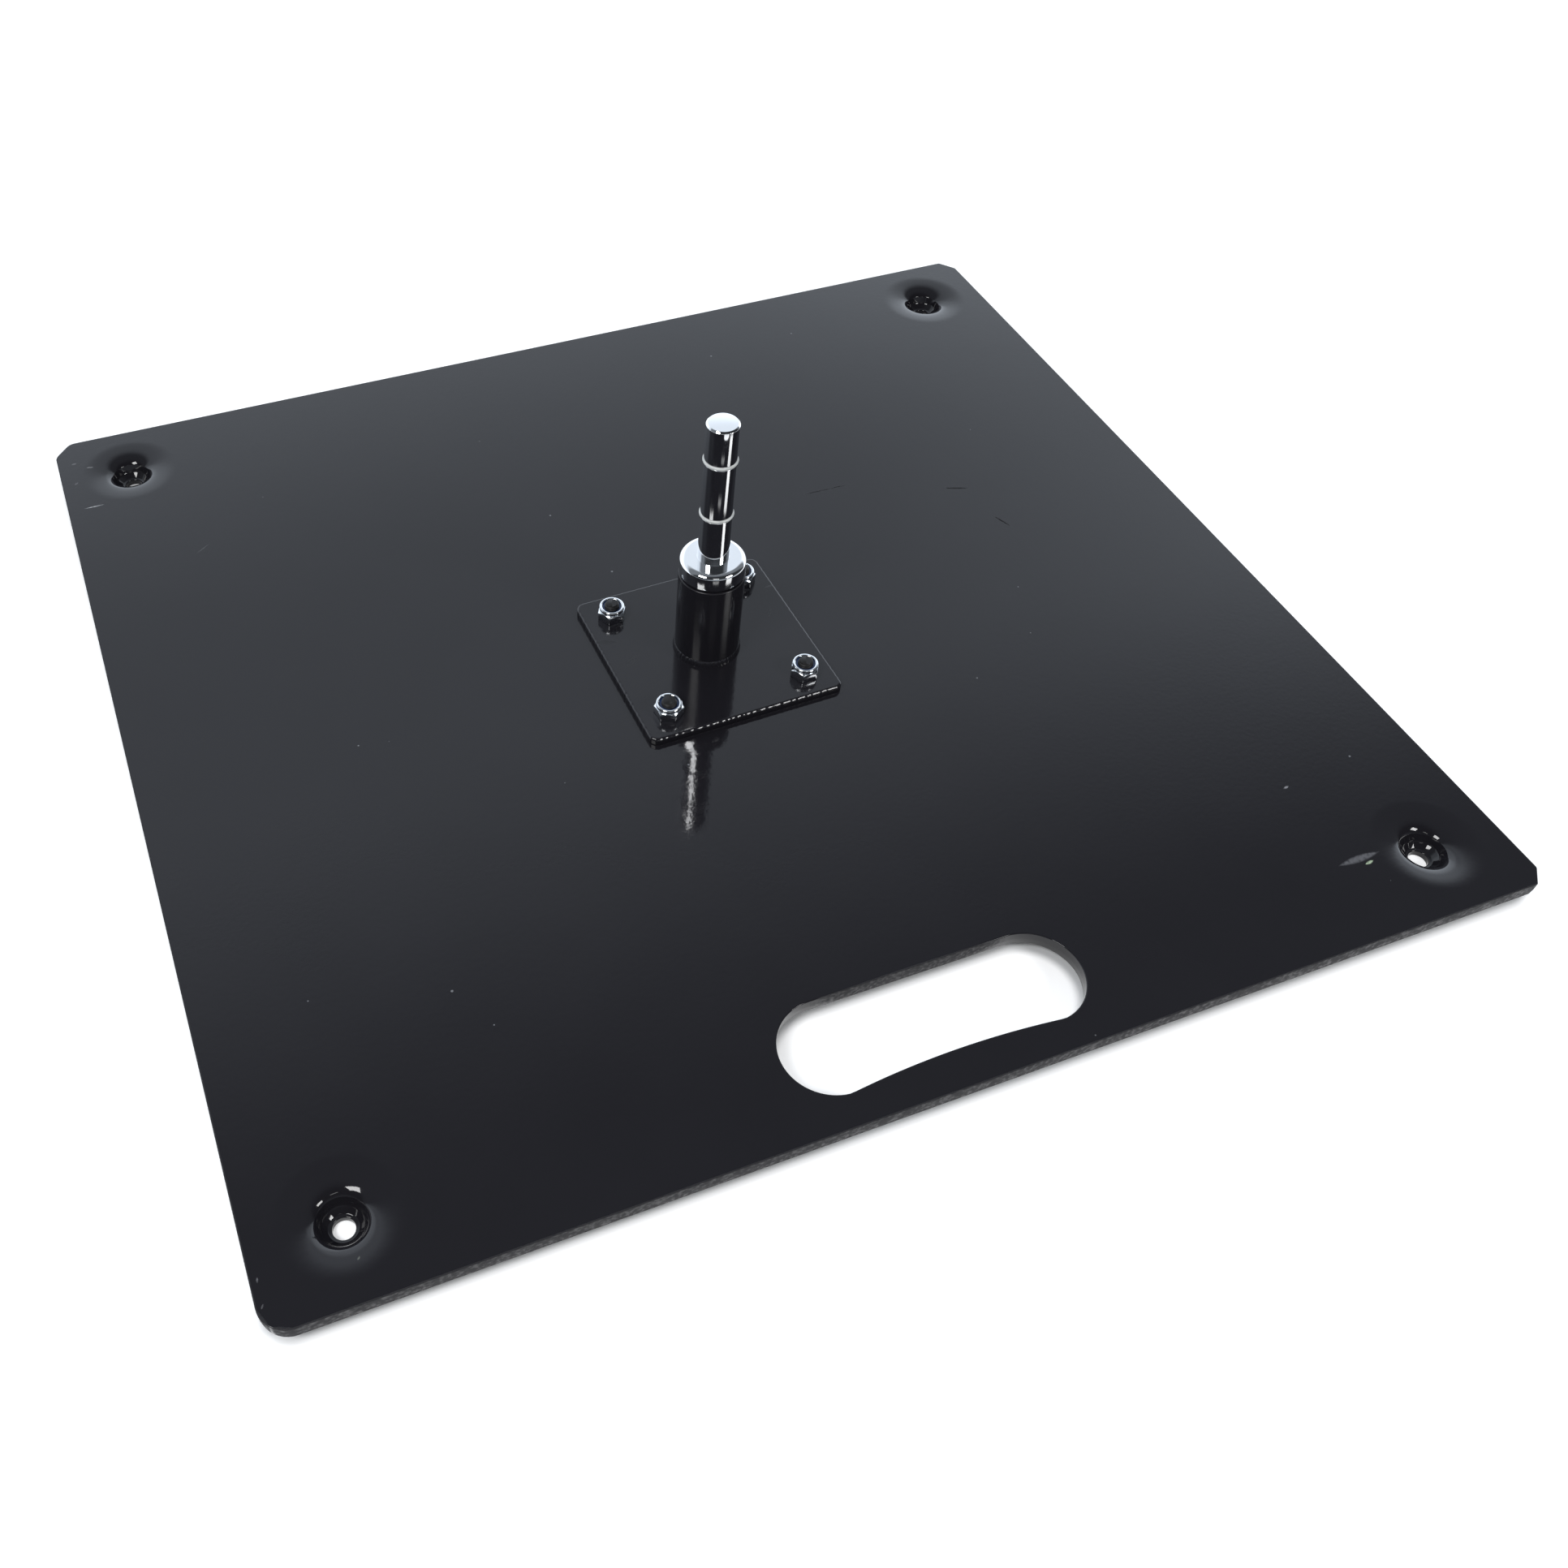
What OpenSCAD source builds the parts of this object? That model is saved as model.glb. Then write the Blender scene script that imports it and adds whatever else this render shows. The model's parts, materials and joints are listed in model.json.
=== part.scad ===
// Steel base plate with a turning spigot for a flagpole foot.
// Millimetres, +Z up. The origin is on the floor, under the middle of the base plate.

/* [Base plate] */
// Width of the base plate, left to right
plate_w = 450; // [350:1:700]
// Depth of the base plate, front to back
plate_d = 425; // [350:1:700]
// Thickness of the base sheet
plate_t = 6; // [5:0.5:10]
// Radius of the two rounded corners on the left
corner_r = 9.5; // [4:0.5:20]
// Length of the straight cut across the two corners on the right
corner_cut = 6; // [2:0.5:16]

/* [Hand slot] */
// Length of the hand slot
slot_len = 108; // [90:0.5:160]
// Width of the hand slot at its ends
slot_w = 34.6; // [30:0.2:50]
// Width of the grip bar between the slot's ends and the front edge
grip_w = 11.2; // [8:0.2:30]
// How far the middle of the grip bar bows into the slot
grip_bow = 2.4; // [0.8:0.2:5]
// Offset of the slot from the plate's centre line
slot_shift = -0.4; // [-20:0.1:20]

/* [Pressed feet] */
// Centre of a foot to the side edge
foot_inset_x = 29; // [26:0.5:60]
// Centre of a foot to the front or back edge
foot_inset_y = 27.5; // [26:0.5:60]
// How far a foot is pressed down below the sheet
foot_drop = 4.5; // [2:0.1:8]
// Diameter of the flat ring that a foot stands on
foot_d = 19; // [16:0.5:24]
// Diameter of the bulge on the underside
bulge_d = 39; // [34:0.5:50]
// Diameter of the soft dish on top
dish_d = 36; // [28:0.5:44]
// Depth of the dish where it meets the pit
dish_depth = 3.9; // [1.5:0.1:4.5]
// Diameter of the pit in the middle of the dish
pit_d = 18; // [14:0.5:19]
// Thickness of the pit's floor
pit_floor = 2.4; // [1.5:0.1:4]
// Diameter of the peg hole through the pit's floor
peg_d = 7; // [4:0.1:10]

/* [Mounting plate] */
// Sideways offset of the spigot from the plate's middle
spigot_x = -4; // [-30:0.5:30]
// Front-to-back offset of the spigot from the plate's middle
spigot_y = -6; // [-30:0.5:30]
// Side of the square mounting plate
mount_side = 79.7; // [74:0.1:110]
// Thickness of the mounting plate
mount_t = 3; // [3:0.5:6]
// Radius of the mounting plate's corners
mount_r = 3.5; // [1:0.5:6]
// Turn of the mounting plate against the base plate, in degrees
mount_turn = 1.2; // [-4:0.1:4]
// Diameter of the hole under the bearings
mount_bore = 17; // [16.4:0.1:18]
// Spacing of the four bolts, both ways
bolt_pitch = 56.6; // [50:0.1:60]

/* [Bolts and nuts] */
// Thread diameter of the bolts
bolt_d = 5.9; // [4.9:0.1:7]
// Length of a bolt, head included
bolt_len = 16; // [15.5:0.5:24]
// Diameter of the countersunk head
head_d = 12; // [10:0.2:14]
// Thickness of the head's straight rim
head_rim = 0.4; // [0.2:0.1:0.8]
// Hexagon socket in the head, across its flats
socket_af = 4; // [3:0.5:5]
// Depth of the socket
socket_deep = 2.3; // [1:0.1:2.6]
// Radial clearance of a bolt in its holes
hole_gap = 0.25; // [0.1:0.05:0.5]
// Radial clearance of a bolt in the nut's thread
thread_gap = 0.05; // [0:0.01:0.1]
// Nut size across its flats
nut_af = 10; // [9:0.1:13]
// Height of the nut's hexagon
hex_h = 4; // [3:0.1:5]
// Height of the whole nut, collar included
nut_h = 5.7; // [5.4:0.1:8]
// Outer diameter of the nut's collar
collar_d = 9.5; // [8.8:0.1:9.8]
// Diameter of the seat that holds the nylon ring
insert_d = 8; // [7.6:0.1:8.4]
// Height of the nylon ring
insert_h = 1.4; // [0.8:0.1:1.6]
// Thickness of the collar's lip over the nylon ring
lip_t = 0.2; // [0.1:0.05:0.3]
// Diameter of the collar's mouth, over the nylon ring
mouth_d = 7.6; // [7.2:0.1:7.9]

/* [Bearing tube] */
// Height of the bearing tube
tube_h = 37; // [32:0.5:80]
// Wall of the bearing tube
tube_wall = 1.5; // [1.2:0.1:3]
// Reach of the weld over the mounting plate
weld_leg = 0.7; // [0.6:0.1:3]
// Height of the weld on the tube
weld_h = 2.5; // [0.8:0.1:4]

/* [Bearings] */
// Outer diameter of a ball bearing, which is also the tube's bore
bearing_od = 22; // [22:0.5:24]
// Width of a ball bearing
bearing_w = 7; // [7:0.5:8]
// Diameter of the circle through the balls' centres
pitch_d = 15; // [14.8:0.1:15.2]
// Diameter of a ball
ball_d = 3.9; // [3.6:0.05:4]
// Number of balls in a bearing
ball_n = 7; // [5:1:8]
// Clearance of a ball in its grooves and in the cage
ball_gap = 0.1; // [0.05:0.01:0.15]
// Depth of the groove in each race
groove_deep = 0.65; // [0.4:0.05:0.8]
// Thickness of a shield
shield_t = 0.3; // [0.2:0.05:0.5]
// Depth of a shield below the bearing's face
shield_sunk = 0.35; // [0.25:0.05:0.5]
// Radial gap between a shield and the inner race
shield_gap = 0.35; // [0.2:0.05:0.5]
// Radial thickness of the cage
cage_wall = 1.2; // [0.8:0.1:1.4]
// Thickness of the cage under a ball
cage_floor = 0.4; // [0.3:0.05:0.5]
// How far the cage's prongs reach above the balls' centres
cage_rise = 0.7; // [0.2:0.1:1.2]
// Wall of the spacer sleeves between the bearings
spacer_wall = 1.3; // [0.8:0.1:1.5]

/* [Retaining rings] */
// Thickness of the retaining ring in the tube
tube_ring_t = 1; // [0.8:0.1:1.4]
// Depth of the upper bearing's ring below the tube's rim
tube_ring_sunk = 1.2; // [0.8:0.1:3]
// Depth of the ring's groove in the tube's wall
tube_groove = 0.5; // [0.3:0.05:0.8]
// Width of the retaining ring in the tube
tube_ring_w = 1.6; // [1.2:0.1:2]
// Thickness of the retaining ring on the shaft
shaft_ring_t = 0.8; // [0.6:0.1:1]
// Depth of the ring's groove in the shaft
shaft_groove = 0.2; // [0.15:0.05:0.5]
// Width of the retaining ring on the shaft
shaft_ring_w = 1.5; // [1:0.1:1.8]
// Radius of a retaining ring's lugs
lug_r = 1.6; // [1.3:0.1:1.7]
// Diameter of the plier holes in the lugs
lug_hole = 1.2; // [0.8:0.1:1.4]
// How far a lug overlaps its ring
lug_bite = 0.9; // [0.6:0.1:1]
// Opening between a ring's two lugs
lug_gap = 2.4; // [1.6:0.1:3]
// Play of a retaining ring in its groove
ring_play = 0.05; // [0:0.01:0.1]

/* [Spindle] */
// Diameter of the spigot pin
pin_d = 11.8; // [10:0.1:16]
// Length of the spigot pin above its flange
pin_len = 58; // [52:0.5:150]
// Chamfer at the top of the pin
pin_chamfer = 0.8; // [0.3:0.1:2]
// Diameter of the flange that the pole rests on
flange_d = 24.6; // [20:0.2:30]
// Thickness of the flange
flange_t = 7; // [4:0.2:10]
// Radius of the flange's upper rim
flange_r = 0.9; // [0.3:0.1:1.8]
// Chamfer of the flange's lower rim
flange_chamfer = 0.4; // [0.2:0.1:1]
// Running gap between the flange and the tube
flange_gap = 0.8; // [0.4:0.1:3]
// Diameter of the shoulder on the upper bearing
shoulder_d = 11.4; // [10.4:0.1:12]
// Diameter of the shaft in the bearings
shaft_d = 8; // [7:0.5:8.5]
// Chamfer at the shaft's lower end
shaft_chamfer = 0.5; // [0.2:0.1:1]
// How far the shaft stands out below its retaining ring
shaft_tail = 1.2; // [0.6:0.1:1.6]

/* [Grip rings] */
// Height of the lower grip ring above the flange
lower_ring_z = 20; // [8:0.5:30]
// Distance of the upper grip ring below the pin's top
upper_ring_drop = 15; // [6:0.5:16]
// Thickness of a grip ring's cord
ring_cord = 1.5; // [1:0.1:2.4]
// How far a grip ring stands out of the pin
ring_proud = 0.2; // [0.1:0.05:0.6]
// Side play of a grip ring in its groove
ring_side_play = 0.1; // [0.05:0.05:0.3]

/* [Hidden] */
$fn = 96;
EPS = 0.01;
plate_bottom = foot_drop;
plate_top = plate_bottom + plate_t;
mount_top = plate_top + mount_t;

slot_end_r = slot_w / 2;
slot_run = slot_len / 2 - slot_end_r;
slot_y = -plate_d / 2 + grip_w + slot_end_r;
// Half the length of the grip bar's arc, which ends on the slot's round ends
grip_half = slot_run + 2;
grip_arc_r = (grip_half * grip_half + grip_bow * grip_bow) / (2 * grip_bow);

foot_x = plate_w / 2 - foot_inset_x;
foot_y = plate_d / 2 - foot_inset_y;
pit_r = pit_d / 2;
curve_steps = 10;

bolt_r = bolt_d / 2;
bolt_hole_r = bolt_r + hole_gap;
head_r = head_d / 2;
head_h = head_rim + head_r - bolt_r;
bolt_chamfer = 0.7;
insert_z = nut_h - insert_h - lip_t;
// Share of the hexagon's corners that its chamfer takes off
corner_share = 0.9;
lip_drop = 0.6;
lip_round = 0.15;
lip_flat = 0.5;
// Turn of each nut as it was tightened: rear left, front left, front right, rear right
nut_turns = [58, 34, 58, 43];
bolt_corners = [[-1, 1], [-1, -1], [1, -1], [1, 1]];

tube_top = mount_top + tube_h;
tube_bore_r = bearing_od / 2;
tube_r = tube_bore_r + tube_wall;

land_outer = pitch_d / 2 + ball_d / 2 + ball_gap - groove_deep;
land_inner = pitch_d / 2 - ball_d / 2 - ball_gap + groove_deep;
shield_seat = land_outer + groove_deep;
shield_step = shield_sunk + shield_t;
lower_bearing_z = mount_top;
tube_ring_z = tube_top - tube_ring_sunk - tube_ring_t;
upper_bearing_z = tube_ring_z - ring_play - bearing_w;
spacer_z = lower_bearing_z + bearing_w;
spacer_h = upper_bearing_z - spacer_z;

flange_bottom = tube_top + flange_gap;
flange_top = flange_bottom + flange_t;
pin_top = flange_top + pin_len;
shaft_r = shaft_d / 2;
shoulder_z = upper_bearing_z + bearing_w;
shaft_ring_z = lower_bearing_z - shaft_ring_t;
shaft_end = shaft_ring_z - ring_play - shaft_tail;
ring_centre_r = pin_d / 2 + ring_proud - ring_cord / 2;
ring_floor_r = ring_centre_r - ring_cord / 2;
ring_half = ring_cord / 2 + ring_side_play;

black_paint = [0.06, 0.06, 0.07];
chrome_finish = [0.85, 0.87, 0.9];
zinc = [0.75, 0.77, 0.8];
bearing_steel = [0.6, 0.61, 0.63];
ring_rubber = [0.88, 0.88, 0.85];

// Places its children on the spindle's axis
module on_spindle() {
  translate([spigot_x, spigot_y, 0]) children();
}

// Places its children at each bolt, counted by $corner
module at_bolts() {
  on_spindle() rotate([0, 0, mount_turn])
    for ($corner = [0 : 3])
      translate([bolt_corners[$corner][0] * bolt_pitch / 2,
                 bolt_corners[$corner][1] * bolt_pitch / 2, 0])
        children();
}

// Places its children at each pressed foot
module at_feet() {
  for (side = [-1, 1], end = [-1, 1])
    translate([side * foot_x, end * foot_y, 0]) children();
}

// Flat ring or sleeve with a bore
module sleeve(outer, inner, height) {
  difference() {
    cylinder(r = outer, h = height);
    translate([0, 0, -EPS]) cylinder(r = inner, h = height + 2 * EPS);
  }
}

// Rectangle with rounded corners, made of one extrusion
module rounded_slab(side, radius, height) {
  half = side / 2 - radius;
  union() {
    translate([-side / 2, -half, 0]) cube([side, 2 * half, height]);
    translate([-half, -side / 2, 0]) cube([2 * half, side, height]);
    for (x = [-half, half], y = [-half, half])
      translate([x, y, 0]) cylinder(r = radius, h = height);
  }
}

// Outline of the sheet: arcs on the left corners, straight cuts on the right ones
module sheet_body() {
  left = -plate_w / 2;
  half_d = plate_d / 2;
  translate([0, 0, plate_bottom]) union() {
    linear_extrude(height = plate_t) polygon([
      [left + corner_r, -half_d], [plate_w / 2 - corner_cut, -half_d],
      [plate_w / 2, -half_d + corner_cut], [plate_w / 2, half_d - corner_cut],
      [plate_w / 2 - corner_cut, half_d], [left + corner_r, half_d],
      [left, half_d - corner_r], [left, -half_d + corner_r]]);
    for (end = [-1, 1])
      translate([left + corner_r, end * (half_d - corner_r), 0])
        cylinder(r = corner_r, h = plate_t);
  }
}

// Hand slot with round ends; the grip bar's inner edge is an arc that bows into it
module hand_slot() {
  translate([slot_shift, slot_y, plate_bottom - 1]) difference() {
    union() {
      translate([-slot_run, -slot_end_r, 0]) cube([2 * slot_run, slot_w, plate_t + 2]);
      for (end = [-1, 1])
        translate([end * slot_run, 0, 0]) cylinder(r = slot_end_r, h = plate_t + 2);
    }
    translate([0, -slot_end_r + grip_bow - grip_arc_r, -1])
      cylinder(r = grip_arc_r, h = plate_t + 4, $fn = 360);
  }
}

// Bulge under the sheet: a flat ring to stand on, with a curve up to the sheet
module foot_bulge() {
  span = (bulge_d - foot_d) / 2;
  rotate_extrude() polygon(concat(
    [[0, plate_bottom + 1], [0, 0], [foot_d / 2, 0]],
    [for (i = [1 : curve_steps]) let (u = i / curve_steps)
      [foot_d / 2 + u * span, foot_drop * (1 - (1 - u) * (1 - u))]],
    [[bulge_d / 2, plate_bottom + 1]]));
}

// Space pressed out of the top: a dish that steepens inwards, then the pit
module foot_hollow() {
  span = dish_d / 2 - pit_r;
  rotate_extrude() polygon(concat(
    [[0, pit_floor], [pit_r, pit_floor]],
    [for (i = [0 : curve_steps]) let (u = i / curve_steps)
      [pit_r + u * span, plate_top - dish_depth * (1 - u) * (1 - u)]],
    [[dish_d / 2, plate_top + 1], [0, plate_top + 1]]));
}

// Countersunk hole under the sheet, with the same cone as the bolt's head
module bolt_hole() {
  rotate_extrude() polygon([
    [0, plate_bottom - 1], [head_r, plate_bottom - 1], [head_r, plate_bottom + head_rim],
    [bolt_hole_r, plate_bottom + head_rim + head_r - bolt_hole_r],
    [bolt_hole_r, plate_top + 1], [0, plate_top + 1]]);
}

module base_plate() {
  color(black_paint) difference() {
    union() {
      sheet_body();
      at_feet() foot_bulge();
    }
    at_feet() foot_hollow();
    at_feet() translate([0, 0, -1]) cylinder(d = peg_d, h = pit_floor + 2);
    hand_slot();
    at_bolts() bolt_hole();
  }
}

module mounting_plate() {
  color(black_paint) difference() {
    on_spindle() rotate([0, 0, mount_turn]) translate([0, 0, plate_top])
      rounded_slab(mount_side, mount_r, mount_t);
    on_spindle() translate([0, 0, plate_top - 1]) cylinder(d = mount_bore, h = mount_t + 2);
    at_bolts() translate([0, 0, plate_top - 1]) cylinder(r = bolt_hole_r, h = mount_t + 2);
  }
}

// Tube with a groove inside its upper end for the retaining ring
module bearing_tube() {
  groove_low = tube_ring_z - ring_play;
  groove_high = tube_ring_z + tube_ring_t + ring_play;
  groove_r = tube_bore_r + tube_groove;
  color(black_paint) on_spindle() rotate_extrude() polygon([
    [tube_bore_r, mount_top], [tube_r, mount_top], [tube_r, tube_top],
    [tube_bore_r, tube_top], [tube_bore_r, groove_high], [groove_r, groove_high],
    [groove_r, groove_low], [tube_bore_r, groove_low]]);
}

// Weld round the foot of the tube, with a slightly hollow face
module weld_bead() {
  color(black_paint) on_spindle() rotate_extrude() polygon([
    [tube_r, mount_top], [tube_r + weld_leg, mount_top],
    [tube_r + weld_leg * 0.55, mount_top + weld_h * 0.35],
    [tube_r + weld_leg * 0.2, mount_top + weld_h * 0.72],
    [tube_r, mount_top + weld_h]]);
}

// Countersunk bolt, fitted from below, with its chamfered end above the nut
module mount_bolts() {
  end_z = plate_bottom + bolt_len;
  color([0.05, 0.05, 0.05]) at_bolts() difference() {
    rotate_extrude() polygon([
      [0, plate_bottom], [head_r, plate_bottom], [head_r, plate_bottom + head_rim],
      [bolt_r, plate_bottom + head_h], [bolt_r, end_z - bolt_chamfer],
      [bolt_r - bolt_chamfer, end_z], [0, end_z]]);
    translate([0, 0, plate_bottom - 1])
      cylinder(d = socket_af / cos(30), h = socket_deep + 1, $fn = 6);
  }
}

// Lock nut: a chamfered hexagon below a round collar that holds the nylon ring
module lock_nuts() {
  corner = nut_af / 2 / cos(30);
  chamfer = (corner - nut_af / 2) * corner_share;
  color(zinc) at_bolts() translate([0, 0, mount_top]) rotate([0, 0, nut_turns[$corner]])
    difference() {
      union() {
        intersection() {
          cylinder(r = corner, h = hex_h, $fn = 6);
          rotate_extrude() polygon([
            [0, 0], [nut_af / 2, 0], [corner, chamfer / 2],
            [corner, hex_h - chamfer], [nut_af / 2, hex_h], [0, hex_h]]);
        }
        rotate_extrude() polygon([
          [0, hex_h / 2], [collar_d / 2, hex_h / 2], [collar_d / 2, nut_h - lip_drop],
          [collar_d / 2 - lip_round, nut_h - lip_t], [collar_d / 2 - lip_flat, nut_h],
          [0, nut_h]]);
      }
      translate([0, 0, -1]) cylinder(r = bolt_r + thread_gap, h = nut_h + 2);
      translate([0, 0, insert_z]) cylinder(d = insert_d, h = insert_h);
      translate([0, 0, insert_z]) cylinder(d = mouth_d, h = nut_h);
    }
}

module nut_inserts() {
  color([0.1, 0.18, 0.42]) at_bolts() translate([0, 0, mount_top + insert_z])
    sleeve(insert_d / 2, bolt_r, insert_h);
}

// Outer race: a ball groove in the middle and a step for a shield at each face
module outer_race() {
  rise = bearing_w / 2;
  color(bearing_steel) difference() {
    cylinder(r = bearing_od / 2, h = bearing_w);
    translate([0, 0, -1]) cylinder(r = land_outer, h = bearing_w + 2);
    for (z = [-1, bearing_w - shield_step])
      translate([0, 0, z]) cylinder(r = shield_seat, h = shield_step + 1);
    translate([0, 0, rise]) ball_groove();
  }
}

module inner_race() {
  color(bearing_steel) difference() {
    cylinder(r = land_inner, h = bearing_w);
    translate([0, 0, -1]) cylinder(r = shaft_r, h = bearing_w + 2);
    translate([0, 0, bearing_w / 2]) ball_groove();
  }
}

module ball_groove() {
  rotate_extrude() translate([pitch_d / 2, 0]) circle(r = ball_d / 2 + ball_gap, $fn = 48);
}

module balls() {
  color([0.8, 0.81, 0.83]) for (i = [0 : ball_n - 1])
    rotate([0, 0, i * 360 / ball_n]) translate([pitch_d / 2, 0, bearing_w / 2])
      sphere(d = ball_d, $fn = 48);
}

// Crown cage: a ring with a round pocket for each ball, closed below
module cage() {
  low = bearing_w / 2 - ball_d / 2 - ball_gap - cage_floor;
  color([0.82, 0.78, 0.66]) difference() {
    translate([0, 0, low])
      sleeve(pitch_d / 2 + cage_wall / 2, pitch_d / 2 - cage_wall / 2, bearing_w / 2 + cage_rise - low);
    for (i = [0 : ball_n - 1])
      rotate([0, 0, i * 360 / ball_n]) translate([pitch_d / 2, 0, bearing_w / 2])
        sphere(r = ball_d / 2 + ball_gap, $fn = 48);
  }
}

module shields() {
  color(bearing_steel) for (z = [shield_sunk, bearing_w - shield_step])
    translate([0, 0, z]) sleeve(shield_seat, land_inner + shield_gap, shield_t);
}

module at_lower_bearing() {
  on_spindle() translate([0, 0, lower_bearing_z]) children();
}

module at_upper_bearing() {
  on_spindle() translate([0, 0, upper_bearing_z]) children();
}

module outer_spacer() {
  color(bearing_steel) on_spindle() translate([0, 0, spacer_z])
    sleeve(tube_bore_r, tube_bore_r - spacer_wall, spacer_h);
}

module inner_spacer() {
  color(bearing_steel) on_spindle() translate([0, 0, spacer_z])
    sleeve(shaft_r + spacer_wall, shaft_r, spacer_h);
}

// Open ring with two lugs; the lugs stand inside the ring or outside it
module retaining_ring(outer, inner, thickness, lug_circle) {
  lug_turn = asin((lug_gap / 2 + lug_r) / lug_circle);
  difference() {
    union() {
      sleeve(outer, inner, thickness);
      for (side = [-1, 1]) rotate([0, 0, side * lug_turn - 90])
        translate([lug_circle, 0, 0]) cylinder(r = lug_r, h = thickness);
    }
    translate([-lug_gap / 2, -outer - 2 * lug_r, -1])
      cube([lug_gap, outer + 2 * lug_r, thickness + 2]);
    for (side = [-1, 1]) rotate([0, 0, side * lug_turn - 90])
      translate([lug_circle, 0, -1]) cylinder(d = lug_hole, h = thickness + 2);
  }
}

module tube_retaining_ring() {
  outer = tube_bore_r + tube_groove - ring_play;
  inner = outer - tube_ring_w;
  color(bearing_steel) on_spindle() translate([0, 0, tube_ring_z - ring_play])
    retaining_ring(outer, inner, tube_ring_t, inner + lug_bite - lug_r);
}

module shaft_retaining_ring() {
  inner = shaft_r - shaft_groove;
  outer = inner + shaft_ring_w;
  color(bearing_steel) on_spindle() translate([0, 0, shaft_ring_z])
    retaining_ring(outer, inner, shaft_ring_t, outer - lug_bite + lug_r);
}

// One turned piece: shaft, shoulder, flange and pin, with the grooves for its rings
module spindle() {
  pin_r = pin_d / 2;
  rim_r = flange_d / 2;
  low = flange_top + lower_ring_z;
  high = pin_top - upper_ring_drop;
  color(chrome_finish) on_spindle() rotate_extrude() polygon(concat(
    [[0, shaft_end], [shaft_r - shaft_chamfer, shaft_end],
     [shaft_r, shaft_end + shaft_chamfer],
     [shaft_r, shaft_ring_z - ring_play], [shaft_r - shaft_groove, shaft_ring_z - ring_play],
     [shaft_r - shaft_groove, lower_bearing_z], [shaft_r, lower_bearing_z],
     [shaft_r, shoulder_z], [shoulder_d / 2, shoulder_z], [shoulder_d / 2, flange_bottom],
     [rim_r - flange_chamfer, flange_bottom], [rim_r, flange_bottom + flange_chamfer]],
    [for (i = [0 : curve_steps]) let (a = i * 90 / curve_steps)
      [rim_r - flange_r + flange_r * cos(a), flange_top - flange_r + flange_r * sin(a)]],
    [[pin_r, flange_top],
     [pin_r, low - ring_half], [ring_floor_r, low - ring_half],
     [ring_floor_r, low + ring_half], [pin_r, low + ring_half],
     [pin_r, high - ring_half], [ring_floor_r, high - ring_half],
     [ring_floor_r, high + ring_half], [pin_r, high + ring_half],
     [pin_r, pin_top - pin_chamfer], [pin_r - pin_chamfer, pin_top], [0, pin_top]]));
}

module grip_ring(height) {
  color(ring_rubber) on_spindle() translate([0, 0, flange_top + height])
    rotate_extrude() translate([ring_centre_r, 0]) circle(d = ring_cord, $fn = 32);
}

base_plate();
mounting_plate();
bearing_tube();
weld_bead();
mount_bolts();
lock_nuts();
nut_inserts();
at_lower_bearing() outer_race();  // lower_outer_race
at_lower_bearing() inner_race();  // lower_inner_race
at_lower_bearing() balls();  // lower_balls
at_lower_bearing() cage();  // lower_cage
at_lower_bearing() shields();  // lower_shields
at_upper_bearing() outer_race();  // upper_outer_race
at_upper_bearing() inner_race();  // upper_inner_race
at_upper_bearing() balls();  // upper_balls
at_upper_bearing() cage();  // upper_cage
at_upper_bearing() shields();  // upper_shields
outer_spacer();
inner_spacer();
tube_retaining_ring();
shaft_retaining_ring();
spindle();
grip_ring(lower_ring_z);  // lower_grip_ring
grip_ring(pin_len - upper_ring_drop);  // upper_grip_ring
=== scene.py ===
"""A flag base plate: a painted steel sheet on four pressed feet, with a chromed spigot on ball bearings.

Lengths are in millimetres and angles in degrees until a mesh, a lamp or the camera is made from them.
"""
import json
import math

import bpy
import numpy as np
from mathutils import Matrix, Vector
from mathutils.geometry import tessellate_polygon


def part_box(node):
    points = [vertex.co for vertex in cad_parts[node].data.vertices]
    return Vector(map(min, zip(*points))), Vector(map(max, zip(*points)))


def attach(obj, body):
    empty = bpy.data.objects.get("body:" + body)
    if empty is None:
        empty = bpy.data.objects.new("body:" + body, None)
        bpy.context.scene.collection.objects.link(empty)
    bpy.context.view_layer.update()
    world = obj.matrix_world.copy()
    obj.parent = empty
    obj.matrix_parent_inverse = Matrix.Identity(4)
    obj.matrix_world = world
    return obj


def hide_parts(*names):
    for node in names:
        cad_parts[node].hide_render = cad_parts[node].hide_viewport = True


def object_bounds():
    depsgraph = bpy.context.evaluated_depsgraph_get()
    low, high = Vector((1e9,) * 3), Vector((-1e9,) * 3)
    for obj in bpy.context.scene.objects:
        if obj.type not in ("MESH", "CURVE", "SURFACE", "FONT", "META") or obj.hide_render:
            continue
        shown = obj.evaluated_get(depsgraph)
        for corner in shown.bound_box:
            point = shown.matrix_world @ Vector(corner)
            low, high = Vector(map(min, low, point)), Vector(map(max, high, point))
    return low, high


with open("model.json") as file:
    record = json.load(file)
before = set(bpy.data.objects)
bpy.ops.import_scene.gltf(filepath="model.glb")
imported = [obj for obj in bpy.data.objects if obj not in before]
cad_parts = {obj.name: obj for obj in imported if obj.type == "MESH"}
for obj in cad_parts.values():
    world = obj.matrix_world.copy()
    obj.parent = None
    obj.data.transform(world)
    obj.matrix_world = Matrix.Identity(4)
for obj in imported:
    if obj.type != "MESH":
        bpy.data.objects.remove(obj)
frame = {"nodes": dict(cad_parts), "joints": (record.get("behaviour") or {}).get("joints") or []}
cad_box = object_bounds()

# Camera: held at arm's length over the front left corner, looking down across the plate.
# The lens is a short standard one, shifted as the photograph was cropped.
MM = 0.001
camera_data = bpy.data.cameras.new("camera")
camera_data.lens = 34.063
camera_data.shift_x = 0.10586
camera_data.shift_y = 0.02429
camera_data.clip_start = 10 * MM
camera = bpy.data.objects.new("camera", camera_data)
camera.location = Vector((-190.33, -383.66, 417.46)) * MM
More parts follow.
